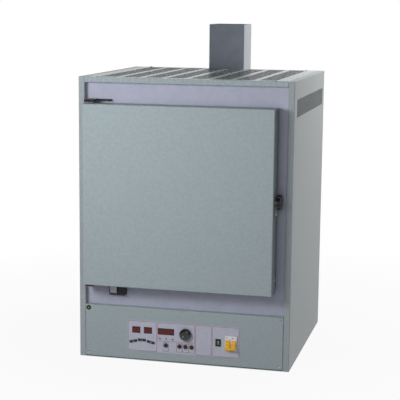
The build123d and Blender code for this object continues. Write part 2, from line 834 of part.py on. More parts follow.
# Latch bush: flanged sleeve in the door's right-hand edge
with BuildPart() as latch_bush:
    with BuildSketch(across(door_right - bush_length)):
        with Locations((latch_y, latch_z)):
            Circle(sleeve_radius)
            Circle(shaft_radius + running_gap, mode=Mode.SUBTRACT)
    extrude(amount=bush_length)
    with BuildSketch(across(door_right)):
        with Locations((latch_y, latch_z)):
            Circle(sleeve_radius + 2)
            Circle(shaft_radius + running_gap, mode=Mode.SUBTRACT)
    extrude(amount=bush_flange)
latch_bush.part.label = "latch_bush"
export_step(latch_bush.part, "parts/latch_bush.step")

# Latch hook: a shaft with a flat hook, whose slot is an arc about the shaft; released, it hangs down
hook_x = door_right + bush_flange + fit
slot_half = keeper_radius + hook_gap
slot_line = CenterArc((latch_y, latch_z), hook_radius, -90, 60)
shaft_end = hook_x + hook_thickness + fit + knob_length - knob_cap
with BuildPart() as latch_hook:
    with BuildSketch(across(hook_x)):
        with Locations((latch_y, latch_z)):
            Circle(shaft_radius + hook_band)
        with Locations((latch_y, latch_z - hook_radius / 2)):
            Rectangle(2 * shaft_radius, hook_radius)
        with BuildLine():
            toe = CenterArc((latch_y, latch_z), hook_radius + slot_half + hook_band, -90 - hook_heel,
                            hook_heel + hook_toe)
            root = CenterArc((latch_y, latch_z), hook_radius - slot_half - hook_band, -90 - hook_heel,
                             hook_heel + hook_toe)
            Line(toe @ 0, root @ 0)
            Line(toe @ 1, root @ 1)
        make_face()
        SlotArc(slot_line, 2 * slot_half, mode=Mode.SUBTRACT)
    extrude(amount=hook_thickness)
    with BuildSketch(across(door_right - shaft_depth)):
        with Locations((latch_y, latch_z)):
            Circle(shaft_radius)
    extrude(amount=shaft_end - door_right + shaft_depth)
latch_hook.part.label = "latch_hook"
export_step(latch_hook.part, "parts/latch_hook.step")

# Latch knob: lobed hand knob on the end of the shaft
knob_x = hook_x + hook_thickness + fit
with BuildPart() as latch_knob:
    with BuildSketch(across(knob_x)):
        with Locations((latch_y, latch_z)):
            Circle(knob_radius)
            with PolarLocations(knob_radius + knob_flute / 2, knob_lobes):
                Circle(knob_flute, mode=Mode.SUBTRACT)
    extrude(amount=knob_length)
    chamfer(latch_knob.faces().sort_by(Axis.X)[-1].edges(), knob_length / 6)
    with BuildSketch(across(knob_x)):
        with Locations((latch_y, latch_z)):
            Circle(shaft_radius + fixed_gap)
    extrude(amount=shaft_end - knob_x + fit, mode=Mode.SUBTRACT)
latch_knob.part.label = "latch_knob"
export_step(latch_knob.part, "parts/latch_knob.step")

# Latch keeper: bracket on the front plate with the pin that the hook closes over
keeper_x = hook_x + hook_thickness + 5 * fit
keeper_y = latch_y + hook_radius
keeper_arm = plate_y - keeper_y + keeper_radius + keeper_plate
with BuildPart() as latch_keeper:
    with BuildSketch(across(keeper_x)):
        with Locations((plate_y - keeper_arm / 2, latch_z)):
            Rectangle(keeper_arm, keeper_width)
    extrude(amount=keeper_plate)
    with BuildSketch(facing(plate_y)):
        with Locations((keeper_x + keeper_foot / 2, latch_z)):
            Rectangle(keeper_foot, keeper_width)
    extrude(amount=keeper_plate)
    with BuildSketch(across(door_right + fit)):
        with Locations((keeper_y, latch_z)):
            Circle(keeper_radius)
    extrude(amount=keeper_x - door_right)
latch_keeper.part.label = "latch_keeper"
export_step(latch_keeper.part, "parts/latch_keeper.step")

# Interlock switch on the front plate, and the tab on the door's lower edge that works it
switch_front = plate_y - switch_depth
plunger_z = switch_bottom + switch_height / 2
tab_back = switch_front - tab_clearance
with BuildPart() as interlock_body:
    with BuildSketch(facing(plate_y)):
        with Locations((switch_x, plunger_z)):
            RectangleRounded(switch_width, switch_height, 2)
    extrude(amount=switch_depth)
    with BuildSketch(facing(switch_front)):
        with Locations((tab_x, plunger_z)):
            Circle(plunger_radius + running_gap)
    extrude(amount=-plunger_seat - plunger_travel - fit, mode=Mode.SUBTRACT)
interlock_body.part.label = "interlock_body"
export_step(interlock_body.part, "parts/interlock_body.step")

with BuildPart() as interlock_plunger:
    with BuildSketch(facing(tab_back + fit)):
        with Locations((tab_x, plunger_z)):
            Circle(plunger_radius)
    extrude(amount=-(tab_clearance - fit + plunger_seat))
    fillet(interlock_plunger.edges().group_by(Axis.Y)[0], plunger_radius / 3)
interlock_plunger.part.label = "interlock_plunger"
export_step(interlock_plunger.part, "parts/interlock_plunger.step")

with BuildPart() as interlock_tab:
    with BuildSketch(facing(tab_back)):
        with Locations((tab_x, (tab_bottom + liner_bottom) / 2)):
            Rectangle(tab_width, liner_bottom - tab_bottom)
    extrude(amount=sheet)
    with BuildSketch(Plane.XY.offset(liner_bottom)):
        with Locations((tab_x, tab_back - tab_foot / 2)):
            Rectangle(tab_width, tab_foot)
    extrude(amount=-sheet)
interlock_tab.part.label = "interlock_tab"
export_step(interlock_tab.part, "parts/interlock_tab.step")

# Control faceplate: thin plate on the control panel
with BuildPart() as faceplate:
    with BuildSketch(facing(front_y)):
        with Locations((faceplate_x, faceplate_z)):
            Rectangle(faceplate_width, faceplate_height)
        add(panel_cutouts(fit), mode=Mode.SUBTRACT)
    extrude(amount=faceplate_thickness)
faceplate.part.label = "faceplate"
export_step(faceplate.part, "parts/faceplate.step")

# Displays and lamps: they stand on the control board and look out through the faceplate
board_y = panel_back + standoff_length
with BuildPart() as displays:
    with BuildSketch(facing(board_y)):
        with Locations(*[(x, display_z) for x in small_display_xs]):
            Rectangle(small_display_width, display_height)
        with Locations((wide_display_x, display_z)):
            Rectangle(wide_display_width, display_height)
    extrude(amount=board_y - face_y + display_proud)
displays.part.label = "displays"
export_step(displays.part, "parts/displays.step")

with BuildPart() as status_lamps:
    with BuildSketch(facing(board_y)):
        with Locations(*[(x, lamp_z) for x in lamp_xs]):
            Circle(lamp_radius)
    extrude(amount=board_y - face_y + lamp_proud)
    fillet(status_lamps.edges().group_by(Axis.Y)[0], lamp_radius / 2)
status_lamps.part.label = "status_lamps"
export_step(status_lamps.part, "parts/status_lamps.step")

# Push controls: three slim keys on an arc and four round buttons
contact_y = board_y - contact_height


def push_control(outline, collar, centre, proud, travel):
    """Push control: its cap in the panel, the collar that holds it there and the stem to its contact."""
    with BuildPart() as control:
        with BuildSketch(facing(face_y - proud)):
            add(outline)
        extrude(amount=-(panel_back + collar_gap - face_y + proud))
        with BuildSketch(facing(panel_back + collar_gap)):
            add(collar)
        extrude(amount=-collar_thickness)
        with BuildSketch(facing(panel_back + collar_gap + collar_thickness)):
            with Locations(centre):
                Circle(stem_radius)
        extrude(amount=-(contact_y - travel - fit - panel_back - collar_gap - collar_thickness))
    return control.part


def slim_outline(centre, tilt, extra):
    """Rounded outline of one slim key, made taller by extra above and below."""
    with BuildSketch() as section:
        with Locations(Location((centre[0], centre[1], 0), (0, 0, tilt))):
            RectangleRounded(key_width, key_height + 2 * extra, key_corner)
    return section.sketch


def round_outline(centre, radius):
    """Circle for one round button."""
    with BuildSketch() as section:
        with Locations(centre):
            Circle(radius)
    return section.sketch


for name, centre, tilt in zip(("left", "middle", "right"), key_centres, key_tilts):
    slim_key = push_control(slim_outline(centre, tilt, 0), slim_outline(centre, tilt, fit + key_rim),
                            centre, key_proud, key_travel)
    slim_key.label = f"slim_key_{name}"
    export_step(slim_key, f"parts/slim_key_{name}.step")

for number, x in enumerate(button_xs, 1):
    centre = (x, button_z)
    round_button = push_control(round_outline(centre, button_radius),
                                round_outline(centre, button_radius + 2 * fit + key_rim),
                                centre, button_proud, button_travel)
    round_button.label = f"round_button_{number}"
    export_step(round_button, f"parts/round_button_{number}.step")

with BuildPart() as button_bezels:
    with BuildSketch(facing(face_y)):
        with Locations(*[(x, button_z) for x in button_xs]):
            Circle(bezel_radius)
            Circle(button_radius + fit, mode=Mode.SUBTRACT)
    extrude(amount=bezel_height)
button_bezels.part.label = "button_bezels"
export_step(button_bezels.part, "parts/button_bezels.step")

# Control board on four standoffs, with a contact block behind each push control
standoff_x = board_width / 2 - 5
standoff_z = board_height / 2 - 5
with BuildPart() as control_board:
    with BuildSketch(facing(board_y)):
        with Locations((board_x, faceplate_z)):
            Rectangle(board_width, board_height)
    extrude(amount=-board_thickness)
    with BuildSketch(facing(board_y)):
        with Locations(*key_centres, *[(x, button_z) for x in button_xs]):
            Rectangle(contact_size, contact_size)
    extrude(amount=contact_height)
    with BuildSketch(facing(board_y + board_thickness)):
        with Locations((board_x + relay_x, faceplate_z)):
            Rectangle(relay_width, relay_height)
        with Locations((board_x + chip_x, faceplate_z + chip_rise)):
            Rectangle(chip_width, chip_height)
        with Locations((board_x + can_x, faceplate_z - can_drop)):
            Circle(can_radius)
    extrude(amount=-board_parts_depth)
    with BuildSketch(facing(panel_back)):
        with Locations((board_x, faceplate_z)):
            with GridLocations(2 * standoff_x, 2 * standoff_z, 2, 2):
                RegularPolygon(standoff_radius, 6)
    extrude(amount=-standoff_length)
control_board.part.label = "control_board"
export_step(control_board.part, "parts/control_board.step")

# Power dial: domed knob with its shaft, which turns in the potentiometer's bush
dial_back = face_y - dial_gap
with BuildPart() as power_dial:
    with BuildSketch(facing(dial_back)):
        with Locations((dial_x, dial_z)):
            Circle(dial_radius)
    extrude(amount=dial_height)
    fillet(power_dial.edges().group_by(Axis.Y)[0], dial_height / 2)
    with BuildSketch(facing(panel_back + pot_depth / 2)):
        with Locations((dial_x, dial_z)):
            Circle(dial_shaft_radius)
    extrude(amount=panel_back + pot_depth / 2 - dial_back)
power_dial.part.label = "power_dial"
export_step(power_dial.part, "parts/power_dial.step")

with BuildPart() as potentiometer:
    with BuildSketch(facing(panel_back)):
        with Locations((dial_x, dial_z)):
            Circle(pot_radius)
    extrude(amount=-pot_depth)
    with BuildSketch(facing(panel_back)):
        with Locations((dial_x, dial_z)):
            Circle(pot_bush_radius)
    extrude(amount=panel_back - face_y)
    with BuildSketch(facing(face_y)):
        with Locations((dial_x, dial_z)):
            Circle(dial_shaft_radius + running_gap)
    extrude(amount=-(panel_back - face_y + pot_depth / 2 + fit), mode=Mode.SUBTRACT)
potentiometer.part.label = "potentiometer"
export_step(potentiometer.part, "parts/potentiometer.step")

# Rocker switch: housing with a rim and a round-bottomed pocket, and the rocker on its pivot
pivot_y = face_y + rocker_pivot_depth
rocker_half = rocker_height / 2 - 2 * rocker_wall
rocker_swing = rocker_half - rocker_gap
lip_z = 0.95 * rocker_swing
lip_y = (rocker_swing ** 2 - lip_z ** 2) ** 0.5
pocket_width = rocker_width - 4 * rocker_wall
with BuildPart() as rocker_housing:
    with BuildSketch(facing(face_y)):
        with Locations((rocker_x, rocker_z)):
            Rectangle(rocker_width, rocker_height)
    extrude(amount=rocker_rim)
    with BuildSketch(facing(face_y)):
        with Locations((rocker_x, rocker_z)):
            Rectangle(rocker_width - 2 * rocker_wall, rocker_height - 2 * rocker_wall)
    extrude(amount=-rocker_depth)
    with BuildSketch(turned(rocker_x, pivot_y, rocker_z)):
        Circle(rocker_half)
        with Locations((-rocker_half, 0)):
            Rectangle(2 * rocker_half, 2 * rocker_half)
    extrude(amount=pocket_width / 2, both=True, mode=Mode.SUBTRACT)
    with BuildSketch(turned(rocker_x, pivot_y, rocker_z)):
        Circle(pivot_radius)
    extrude(amount=pocket_width / 2, both=True)
rocker_housing.part.label = "rocker_housing"
export_step(rocker_housing.part, "parts/rocker_housing.step")

with BuildPart() as rocker_key:
    with BuildSketch(turned(rocker_x, pivot_y, rocker_z, rocker_tilt)):
        with BuildLine():
            Polyline((-lip_y, -lip_z), (-lip_y / 2, 0), (-lip_y, lip_z))
            ThreePointArc((-lip_y, lip_z), (rocker_swing, 0), (-lip_y, -lip_z))
        make_face()
        Circle(pivot_radius + running_gap, mode=Mode.SUBTRACT)
    extrude(amount=pocket_width / 2 - fit, both=True)
rocker_key.part.label = "rocker_key"
export_step(rocker_key.part, "parts/rocker_key.step")

# Two-pole breaker: its nose stands through the panel; both handles are joined by a bar
nose_y = face_y - breaker_proud
drum_y = nose_y + drum_depth
pole_shift = breaker_width / 4
breaker_back = nose_y + breaker_depth
pole_xs = (breaker_x - pole_shift, breaker_x + pole_shift)
drum_planes = [turned(x, drum_y, breaker_z) for x in pole_xs]
with BuildPart() as breaker_body:
    with BuildSketch(facing(panel_back + fit)):
        with Locations((breaker_x, breaker_z)):
            Rectangle(breaker_width, breaker_body_height)
    extrude(amount=-(breaker_back - panel_back - fit))
    with BuildSketch(facing(panel_back + fit)):
        with Locations((breaker_x, breaker_z)):
            Rectangle(breaker_width, breaker_nose)
    extrude(amount=panel_back + fit - nose_y)
    with BuildSketch(*drum_planes):
        Circle(drum_radius + drum_gap)
    extrude(amount=lever_width / 2 + drum_gap, both=True, mode=Mode.SUBTRACT)
    with BuildSketch(*drum_planes):
        Circle(pivot_radius)
    extrude(amount=lever_width / 2 + drum_gap, both=True)
breaker_body.part.label = "breaker_body"
export_step(breaker_body.part, "parts/breaker_body.step")

with BuildPart() as breaker_handle:
    with BuildSketch(*[turned(x, drum_y, breaker_z, lever_angle) for x in pole_xs]):
        Circle(drum_radius)
        with Locations((-lever_length / 2, 0)):
            Rectangle(lever_length, lever_thickness)
    extrude(amount=lever_width / 2, both=True)
    with BuildSketch(turned(breaker_x, drum_y, breaker_z, lever_angle)):
        with Locations((-lever_length + tie_height / 2, 0)):
            Rectangle(tie_height, lever_thickness)
    extrude(amount=pole_shift + lever_width / 2, both=True)
    with BuildSketch(*drum_planes):
        Circle(pivot_radius + running_gap)
    extrude(amount=lever_width, both=True, mode=Mode.SUBTRACT)
breaker_handle.part.label = "breaker_handle"
export_step(breaker_handle.part, "parts/breaker_handle.step")

# Mounting rail behind the breaker, on an upright bracket
rail_half = rail_height / 2
rail_web_y = breaker_back + rail_depth
with BuildPart() as mounting_rail:
    with BuildSketch(across(breaker_x - rail_length / 2)):
        with BuildLine():
            FilletPolyline((breaker_back, breaker_z - rail_half), (breaker_back, breaker_z - rail_half + 5),
                           (rail_web_y, breaker_z - rail_half + 5), (rail_web_y, breaker_z + rail_half - 5),
                           (breaker_back, breaker_z + rail_half - 5), (breaker_back, breaker_z + rail_half),
                           radius=rail_thickness)
            offset(amount=rail_thickness / 2, side=Side.RIGHT)
        make_face()
    extrude(amount=rail_length)
    with BuildSketch(facing(rail_web_y + rail_thickness / 2)):
        with Locations((breaker_x, (sheet + breaker_z + rail_half) / 2)):
            Rectangle(rail_length, breaker_z + rail_half - sheet)
    extrude(amount=-sheet)
    with BuildSketch(Plane.XY.offset(sheet)):
        with Locations((breaker_x, rail_web_y + rail_thickness / 2 + bracket_foot / 2)):
            Rectangle(rail_length, bracket_foot)
    extrude(amount=sheet)
mounting_rail.part.label = "mounting_rail"
export_step(mounting_rail.part, "parts/mounting_rail.step")

# Transformer: laminated core with two bobbins, standing on the base pan
with BuildPart() as transformer:
    with BuildSketch(facing(transformer_y)):
        with Locations((transformer_x, sheet + transformer_size / 2)):
            Rectangle(transformer_size, transformer_size)
            with GridLocations(0.5 * transformer_size, 1, 2, 1):
                Rectangle(0.25 * transformer_size, 0.6 * transformer_size, mode=Mode.SUBTRACT)
    extrude(amount=0.25 * transformer_size, both=True)
    with BuildSketch(Plane.XY.offset(sheet + transformer_size / 2)):
        with Locations((transformer_x, transformer_y)):
            RectangleRounded(0.72 * transformer_size, 0.8 * transformer_size, 5)
    extrude(amount=0.29 * transformer_size, both=True)
transformer.part.label = "transformer"
export_step(transformer.part, "parts/transformer.step")

# Power regulator on its upright heat sink
with BuildPart() as heat_sink:
    with BuildSketch(Plane.XY.offset(sheet)):
        with Locations((regulator_x, regulator_y)):
            Rectangle(sink_base, sink_length)
        with Locations((regulator_x - sink_base / 2 - fin_length / 2, regulator_y)):
            with GridLocations(1, (sink_length - fin_thickness) / (fin_count - 1), 1, fin_count):
                Rectangle(fin_length, fin_thickness)
    extrude(amount=sink_height)
heat_sink.part.label = "heat_sink"
export_step(heat_sink.part, "parts/heat_sink.step")

with BuildPart() as power_regulator:
    with BuildSketch(across(regulator_x + sink_base / 2)):
        with Locations((regulator_y, sheet + sink_height / 2)):
            Rectangle(45, 58)
            with GridLocations(1, 48, 1, 2):
                Circle(2.2, mode=Mode.SUBTRACT)
    extrude(amount=28)
power_regulator.part.label = "power_regulator"
export_step(power_regulator.part, "parts/power_regulator.step")

# Terminal block on the base pan, by the cable gland
with BuildPart() as terminal_block:
    with BuildSketch(Plane.XY.offset(sheet)):
        with Locations((gland_x, terminal_y)):
            Rectangle(terminal_length, 24)
    extrude(amount=18)
    with BuildSketch(Plane.XY.offset(sheet + 18)):
        with Locations((gland_x, terminal_y)):
            Rectangle(terminal_length, 8)
            with GridLocations(terminal_length / 6, 1, 7, 1):
                Rectangle(1.5, 24)
    extrude(amount=8)
terminal_block.part.label = "terminal_block"
export_step(terminal_block.part, "parts/terminal_block.step")

# Cable gland through the rear cover, with its nut inside
gland_body = gland_radius + gland_wall
with BuildPart() as cable_gland:
    with BuildSketch(facing(rear_y)):
        with Locations((gland_x, gland_z)):
            RegularPolygon(gland_body + 3, 6)
    extrude(amount=-gland_head)
    with BuildSketch(facing(rear_y + gland_head)):
        with Locations((gland_x, gland_z)):
            Circle(gland_body + 0.5)
    extrude(amount=-gland_cap)
    chamfer(cable_gland.edges().group_by(Axis.Y)[-1], 1.2)
    with BuildSketch(facing(rear_y)):
        with Locations((gland_x, gland_z)):
            Circle(gland_body)
    extrude(amount=gland_thread)
    with BuildSketch(facing(rear_sheet_y)):
        with Locations((gland_x, gland_z)):
            RegularPolygon(gland_body + 3, 6)
    extrude(amount=4)
    with BuildSketch(facing(rear_y + gland_head + gland_cap)):
        with Locations((gland_x, gland_z)):
            Circle(gland_radius)
    extrude(amount=gland_head + gland_cap + gland_thread, mode=Mode.SUBTRACT)
cable_gland.part.label = "cable_gland"
export_step(cable_gland.part, "parts/cable_gland.step")

# Screws
panel_screw_zs = (panel_rise + panel_screw_inset, panel_top - panel_screw_inset)
earth_place = (-panel_screw_x, panel_screw_zs[1])
panel_places = ((-panel_screw_x, panel_screw_zs[0]), (panel_screw_x, panel_screw_zs[0]),
                (panel_screw_x, panel_screw_zs[1]))


def screw_set(plane, places, head_radius):
    """Round-headed screws seated on a plane, with their shanks through it."""
    with BuildPart() as screws:
        with BuildSketch(plane):
            with Locations(*places):
                Circle(head_radius)
        extrude(amount=screw_head_height)
        chamfer(screws.faces().sort_by(Axis(plane.origin, plane.z_dir))[-len(places):].edges(),
                screw_head_height / 2)
        with BuildSketch(plane):
            with Locations(*places):
                Circle(screw_shank_radius)
        extrude(amount=-screw_length)
    return screws.part


casing_screw_sets = [screw_set(facing(front_y), panel_places, screw_head_radius),
                     screw_set(Plane.XY.offset(casing_height), cover_places, screw_head_radius),
                     screw_set(Plane.ZX.offset(rear_y), rear_places, screw_head_radius),
                     screw_set(Plane.ZX.offset(duct_front + sheet), duct_places, screw_head_radius)]
with BuildPart() as casing_screws:
    add(casing_screw_sets)
casing_screws.part.label = "casing_screws"
export_step(casing_screws.part, "parts/casing_screws.step")

earth_screw = screw_set(facing(front_y), (earth_place,), earth_head_radius)
earth_screw.label = "earth_screw"
export_step(earth_screw, "parts/earth_screw.step")

door_screws = screw_set(across(door_right), door_screw_places, screw_head_radius)
door_screws.label = "door_screws"
export_step(door_screws, "parts/door_screws.step")
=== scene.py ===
"""Muffle furnace with a side-hinged door: folded steel casing, ceramic muffle, control panel and rear duct."""

import math

import bpy
import numpy as np
from mathutils import Matrix, Vector


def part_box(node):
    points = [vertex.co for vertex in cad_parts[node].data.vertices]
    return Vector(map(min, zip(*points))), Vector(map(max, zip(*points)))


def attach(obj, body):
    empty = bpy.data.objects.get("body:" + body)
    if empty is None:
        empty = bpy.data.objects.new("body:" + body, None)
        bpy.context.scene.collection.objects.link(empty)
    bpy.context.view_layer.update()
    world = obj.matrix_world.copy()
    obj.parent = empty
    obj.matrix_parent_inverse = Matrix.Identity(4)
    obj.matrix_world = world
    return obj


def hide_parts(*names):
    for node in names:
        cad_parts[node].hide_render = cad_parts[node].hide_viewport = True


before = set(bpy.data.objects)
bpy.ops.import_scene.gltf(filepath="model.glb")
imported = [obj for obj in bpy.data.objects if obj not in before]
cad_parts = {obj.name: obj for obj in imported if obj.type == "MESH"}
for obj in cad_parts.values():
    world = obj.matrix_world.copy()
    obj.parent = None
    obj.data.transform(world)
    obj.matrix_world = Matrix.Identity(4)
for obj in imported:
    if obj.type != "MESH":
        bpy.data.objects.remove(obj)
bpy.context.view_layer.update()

# Camera: a long lens, a little above the furnace's top and to its right.
# Found from the casing's edges in the photograph.
yaw, pitch, roll = (math.radians(a) for a in (13.670, 9.321, 0.562))
forward = Vector((-math.sin(yaw) * math.cos(pitch), math.cos(yaw) * math.cos(pitch), -math.sin(pitch)))
level = Vector((math.cos(yaw), math.sin(yaw), 0))
up = level.cross(forward)
right = math.cos(roll) * level + math.sin(roll) * up
top = math.cos(roll) * up - math.sin(roll) * level
camera_place = (0.85307, -3.59585, 1.04590)
lens = bpy.data.cameras.new("camera")
lens.lens = 108.9
lens.sensor_width = 36
camera = bpy.data.objects.new("camera", lens)
camera.matrix_world = Matrix.Translation(camera_place) @ Matrix((right, top, -forward)).transposed().to_4x4()
bpy.context.scene.collection.objects.link(camera)
bpy.context.scene.camera = camera
bpy.context.scene.view_settings.view_transform = "Standard"


# Studio: a white paper backdrop and floor, which keep the furnace's soft shadow, and a dim room in front.
# The key lamp on the left and a weaker one light the front, a third the right side and a fourth the back.
def linear(colour):
    """Linear colour of an sRGB hex value: below 0.04045 a straight line, above it a power of 2.4."""
    part = np.array([int(colour[i:i + 2], 16) / 255 for i in (1, 3, 5)])
    straight = part / 12.92
    curved = ((part + 0.055) / 1.055) ** 2.4
    return (*np.where(part <= 0.04045, straight, curved).tolist(), 1.0)


def put(owner, kind, settings=None, links=None):
    """Adds a node to a material or world, sets its options and inputs, and links its inputs."""
    node = owner.node_tree.nodes.new(kind)
    for name, value in (settings or {}).items():
        if isinstance(name, str) and name not in node.inputs:
            setattr(node, name, value)
        else:
            node.inputs[name].default_value = value
    for name, source in (links or {}).items():
        owner.node_tree.links.new(source, node.inputs[name])
    return node


def seen_white(owner, coordinate, low, high):
    """Factor that is 1 for rays from the camera and those sent on by glass, and for those sent on by gloss
    where the coordinate towards the back, y, is over high. It falls to 0 at low."""
    path = put(owner, "ShaderNodeLightPath")
    place = put(owner, "ShaderNodeTexCoord").outputs[coordinate]
    parts = put(owner, "ShaderNodeSeparateXYZ", {}, {0: place})
    behind = put(owner, "ShaderNodeMapRange", {"From Min": low, "From Max": high}, {"Value": parts.outputs["Y"]})
    gloss = put(owner, "ShaderNodeMath", {"operation": "MULTIPLY"},
                {0: path.outputs["Is Glossy Ray"], 1: behind.outputs[0]})
    straight = put(owner, "ShaderNodeMath", {"operation": "MAXIMUM"},
                   {0: path.outputs["Is Camera Ray"], 1: path.outputs["Is Transmission Ray"]})
    return put(owner, "ShaderNodeMath", {"operation": "MAXIMUM"},
               {0: straight.outputs[0], 1: gloss.outputs[0]}).outputs[0]


world = bpy.data.worlds.new("studio")
world.use_nodes = True
world.node_tree.nodes.clear()
bpy.context.scene.world = world
dim = put(world, "ShaderNodeBackground", {"Color": linear("#E2E9F2"), "Strength": 0.12})
white = put(world, "ShaderNodeBackground", {"Color": (1, 1, 1, 1), "Strength": 1.0})
either = put(world, "ShaderNodeMixShader", {},
             {0: seen_white(world, "Generated", -0.1, 0.3), 1: dim.outputs[0], 2: white.outputs[0]})
put(world, "ShaderNodeOutputWorld", {}, {"Surface": either.outputs[0]})

paper = bpy.data.materials.new("white_paper")
paper.use_nodes = True
paper.node_tree.nodes.clear()
matt = put(paper, "ShaderNodeBsdfDiffuse", {"Color": linear("#B4B4B2")})
bright = put(paper, "ShaderNodeEmission", {"Color": (1, 1, 1, 1), "Strength": 1.0})
# The paper near the furnace shows a share of its own shading, and with it the shadow; far off it is white
spot = put(paper, "ShaderNodeVectorMath", {"operation": "LENGTH"},
           {0: put(paper, "ShaderNodeTexCoord").outputs["Object"]})
fade = put(paper, "ShaderNodeMapRange", {"From Min": 0.55, "From Max": 1.6, "To Min": 0.93, "To Max": 1.0},
           {"Value": spot.outputs["Value"]})
share = put(paper, "ShaderNodeMath", {"operation": "MULTIPLY"},
            {0: seen_white(paper, "Object", -1.2, -0.3), 1: fade.outputs[0]})
both = put(paper, "ShaderNodeMixShader", {}, {0: share.outputs[0], 1: matt.outputs[0], 2: bright.outputs[0]})
put(paper, "ShaderNodeOutputMaterial", {}, {"Surface": both.outputs[0]})
floor_reach, floor_z = 15, -0.0003
floor_mesh = bpy.data.meshes.new("floor")
floor_mesh.from_pydata([(x * floor_reach, y * floor_reach, floor_z)
                        for x, y in ((-1, -1), (1, -1), (1, 1), (-1, 1))], [], [(0, 1, 2, 3)])
floor_mesh.materials.append(paper)
floor = bpy.data.objects.new("floor", floor_mesh)
bpy.context.scene.collection.objects.link(floor)

# Each lamp: where it hangs, what it faces, its width in m, its power in W, its colour, and whether gloss
# shows it. The key and back lamps would glare on the duct and the cover.
for name, place, target, size, power, tint, in_gloss in (
        ("key_lamp", (-0.55, -1.4, 0.95), (-0.15, -0.3, 0.65), 0.5, 12, "#FAFBFF", False),
        ("front_lamp", (0.3, -1.9, 0.75), (0.0, -0.3, 0.5), 1.0, 6, "#F8FAFF", True),
        ("side_lamp", (0.85, 0.7, 1.5), (0.315, 0.1, 0.7), 0.5, 13, "#FFFDFA", True),
        ("back_lamp", (-0.5, 2.0, 0.7), (0.0, 0.3, 0.45), 1.0, 14, "#FFFFFF", False)):
    data = bpy.data.lights.new(name, "AREA")
    data.shape = "DISK"
    data.size = size
    data.energy = power
    data.color = linear(tint)[:3]
    lamp = bpy.data.objects.new(name, data)
    lamp.location = place
    lamp.visible_glossy = in_gloss
    lamp.rotation_mode = "QUATERNION"
    lamp.rotation_quaternion = (Vector(target) - Vector(place)).to_track_quat("-Z", "Y")
    bpy.context.scene.collection.objects.link(lamp)


# Casing: 1.5 mm sheet steel, slotted, folded and screwed together, then powder coated.
# The coat has a fine orange peel; along the folded edges its colour is lightened, a painted highlight for the light
# those edges catch.
def surface(name, dark, light, blotch, grain, depth, roughness, metallic=0.0, edge=0.0, highlight_tint="#FFFFFF", highlight_share=0.0):
    """A finish with two tones that change over blotch mm, a relief of grain mm that is depth mm deep, and
    edges rounded by edge mm, along which a lighter colour is mixed in by a given share as a painted
    highlight. Colour is dark plus noise times the difference, and height is a finer noise."""
    material = bpy.data.materials.new(name)
    material.use_nodes = True
    material.node_tree.nodes.clear()
    place = put(material, "ShaderNodeTexCoord").outputs["Object"]
    cloud = put(material, "ShaderNodeTexNoise", {"Scale": 1000 / blotch, "Detail": 4.0, "Roughness": 0.6},
                {"Vector": place})
    spots = put(material, "ShaderNodeTexNoise", {"Scale": 1000 / grain, "Detail": 2.0}, {"Vector": place})
    spread = put(material, "ShaderNodeMapRange", {"From Min": 0.3, "From Max": 0.7},
                 {"Value": cloud.outputs["Fac"]})
    tone = put(material, "ShaderNodeMix", {"data_type": "RGBA", 6: linear(dark), 7: linear(light)},
               {0: spread.outputs[0]})
    colour = tone.outputs[2]
    relief = put(material, "ShaderNodeBump", {"Strength": 0.6, "Distance": depth / 1000},
                 {"Height": spots.outputs["Fac"]})
    # Painted highlight: near the rounded edges the colour is mixed towards a lighter tint, for the light that edges
    # catch.
    if edge:
        rounded = put(material, "ShaderNodeBevel", {"samples": 6, "Radius": edge / 1000})
        flat = put(material, "ShaderNodeNewGeometry")
        turn = put(material, "ShaderNodeVectorMath", {"operation": "DOT_PRODUCT"},
                   {0: rounded.outputs[0], 1: flat.outputs["Normal"]})
        highlight_mask = put(material, "ShaderNodeMapRange", {"From Min": 0.995, "From Max": 0.85, "To Max": highlight_share},
                  {"Value": turn.outputs["Value"]})
        highlighted = put(material, "ShaderNodeMix", {"data_type": "RGBA", 7: linear(highlight_tint)},
                     {0: highlight_mask.outputs[0], 6: colour})
        colour = highlighted.outputs[2]
        material.node_tree.links.new(rounded.outputs[0], relief.inputs["Normal"])
    sheen = put(material, "ShaderNodeMapRange", {"To Min": roughness - 0.06, "To Max": roughness + 0.06},
                {"Value": cloud.outputs["Fac"]})
    shader = put(material, "ShaderNodeBsdfPrincipled", {"Metallic": metallic},
                 {"Base Color": colour, "Normal": relief.outputs[0], "Roughness": sheen.outputs[0]})
    put(material, "ShaderNodeOutputMaterial", {}, {"Surface": shader.outputs[0]})
    return material, shader, place


def dress(material, *names):
    """Gives CAD nodes their finish."""
    for name in names:
        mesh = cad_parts[name].data
        mesh.materials.clear()
        mesh.materials.append(material)


# Textured polyester powder coat, pale blue grey: the real grain is about 1 mm and is drawn at 3 mm to show
powder_coat, _, _ = surface("grey_powder_coat", "#96A1A3", "#A0ABAC", 9, 3, 0.25, 0.42,
                            edge=1.1, highlight_tint="#D3D9D9", highlight_share=0.75)
dress(powder_coat, "base_pan", "rear_cover", "control_panel")
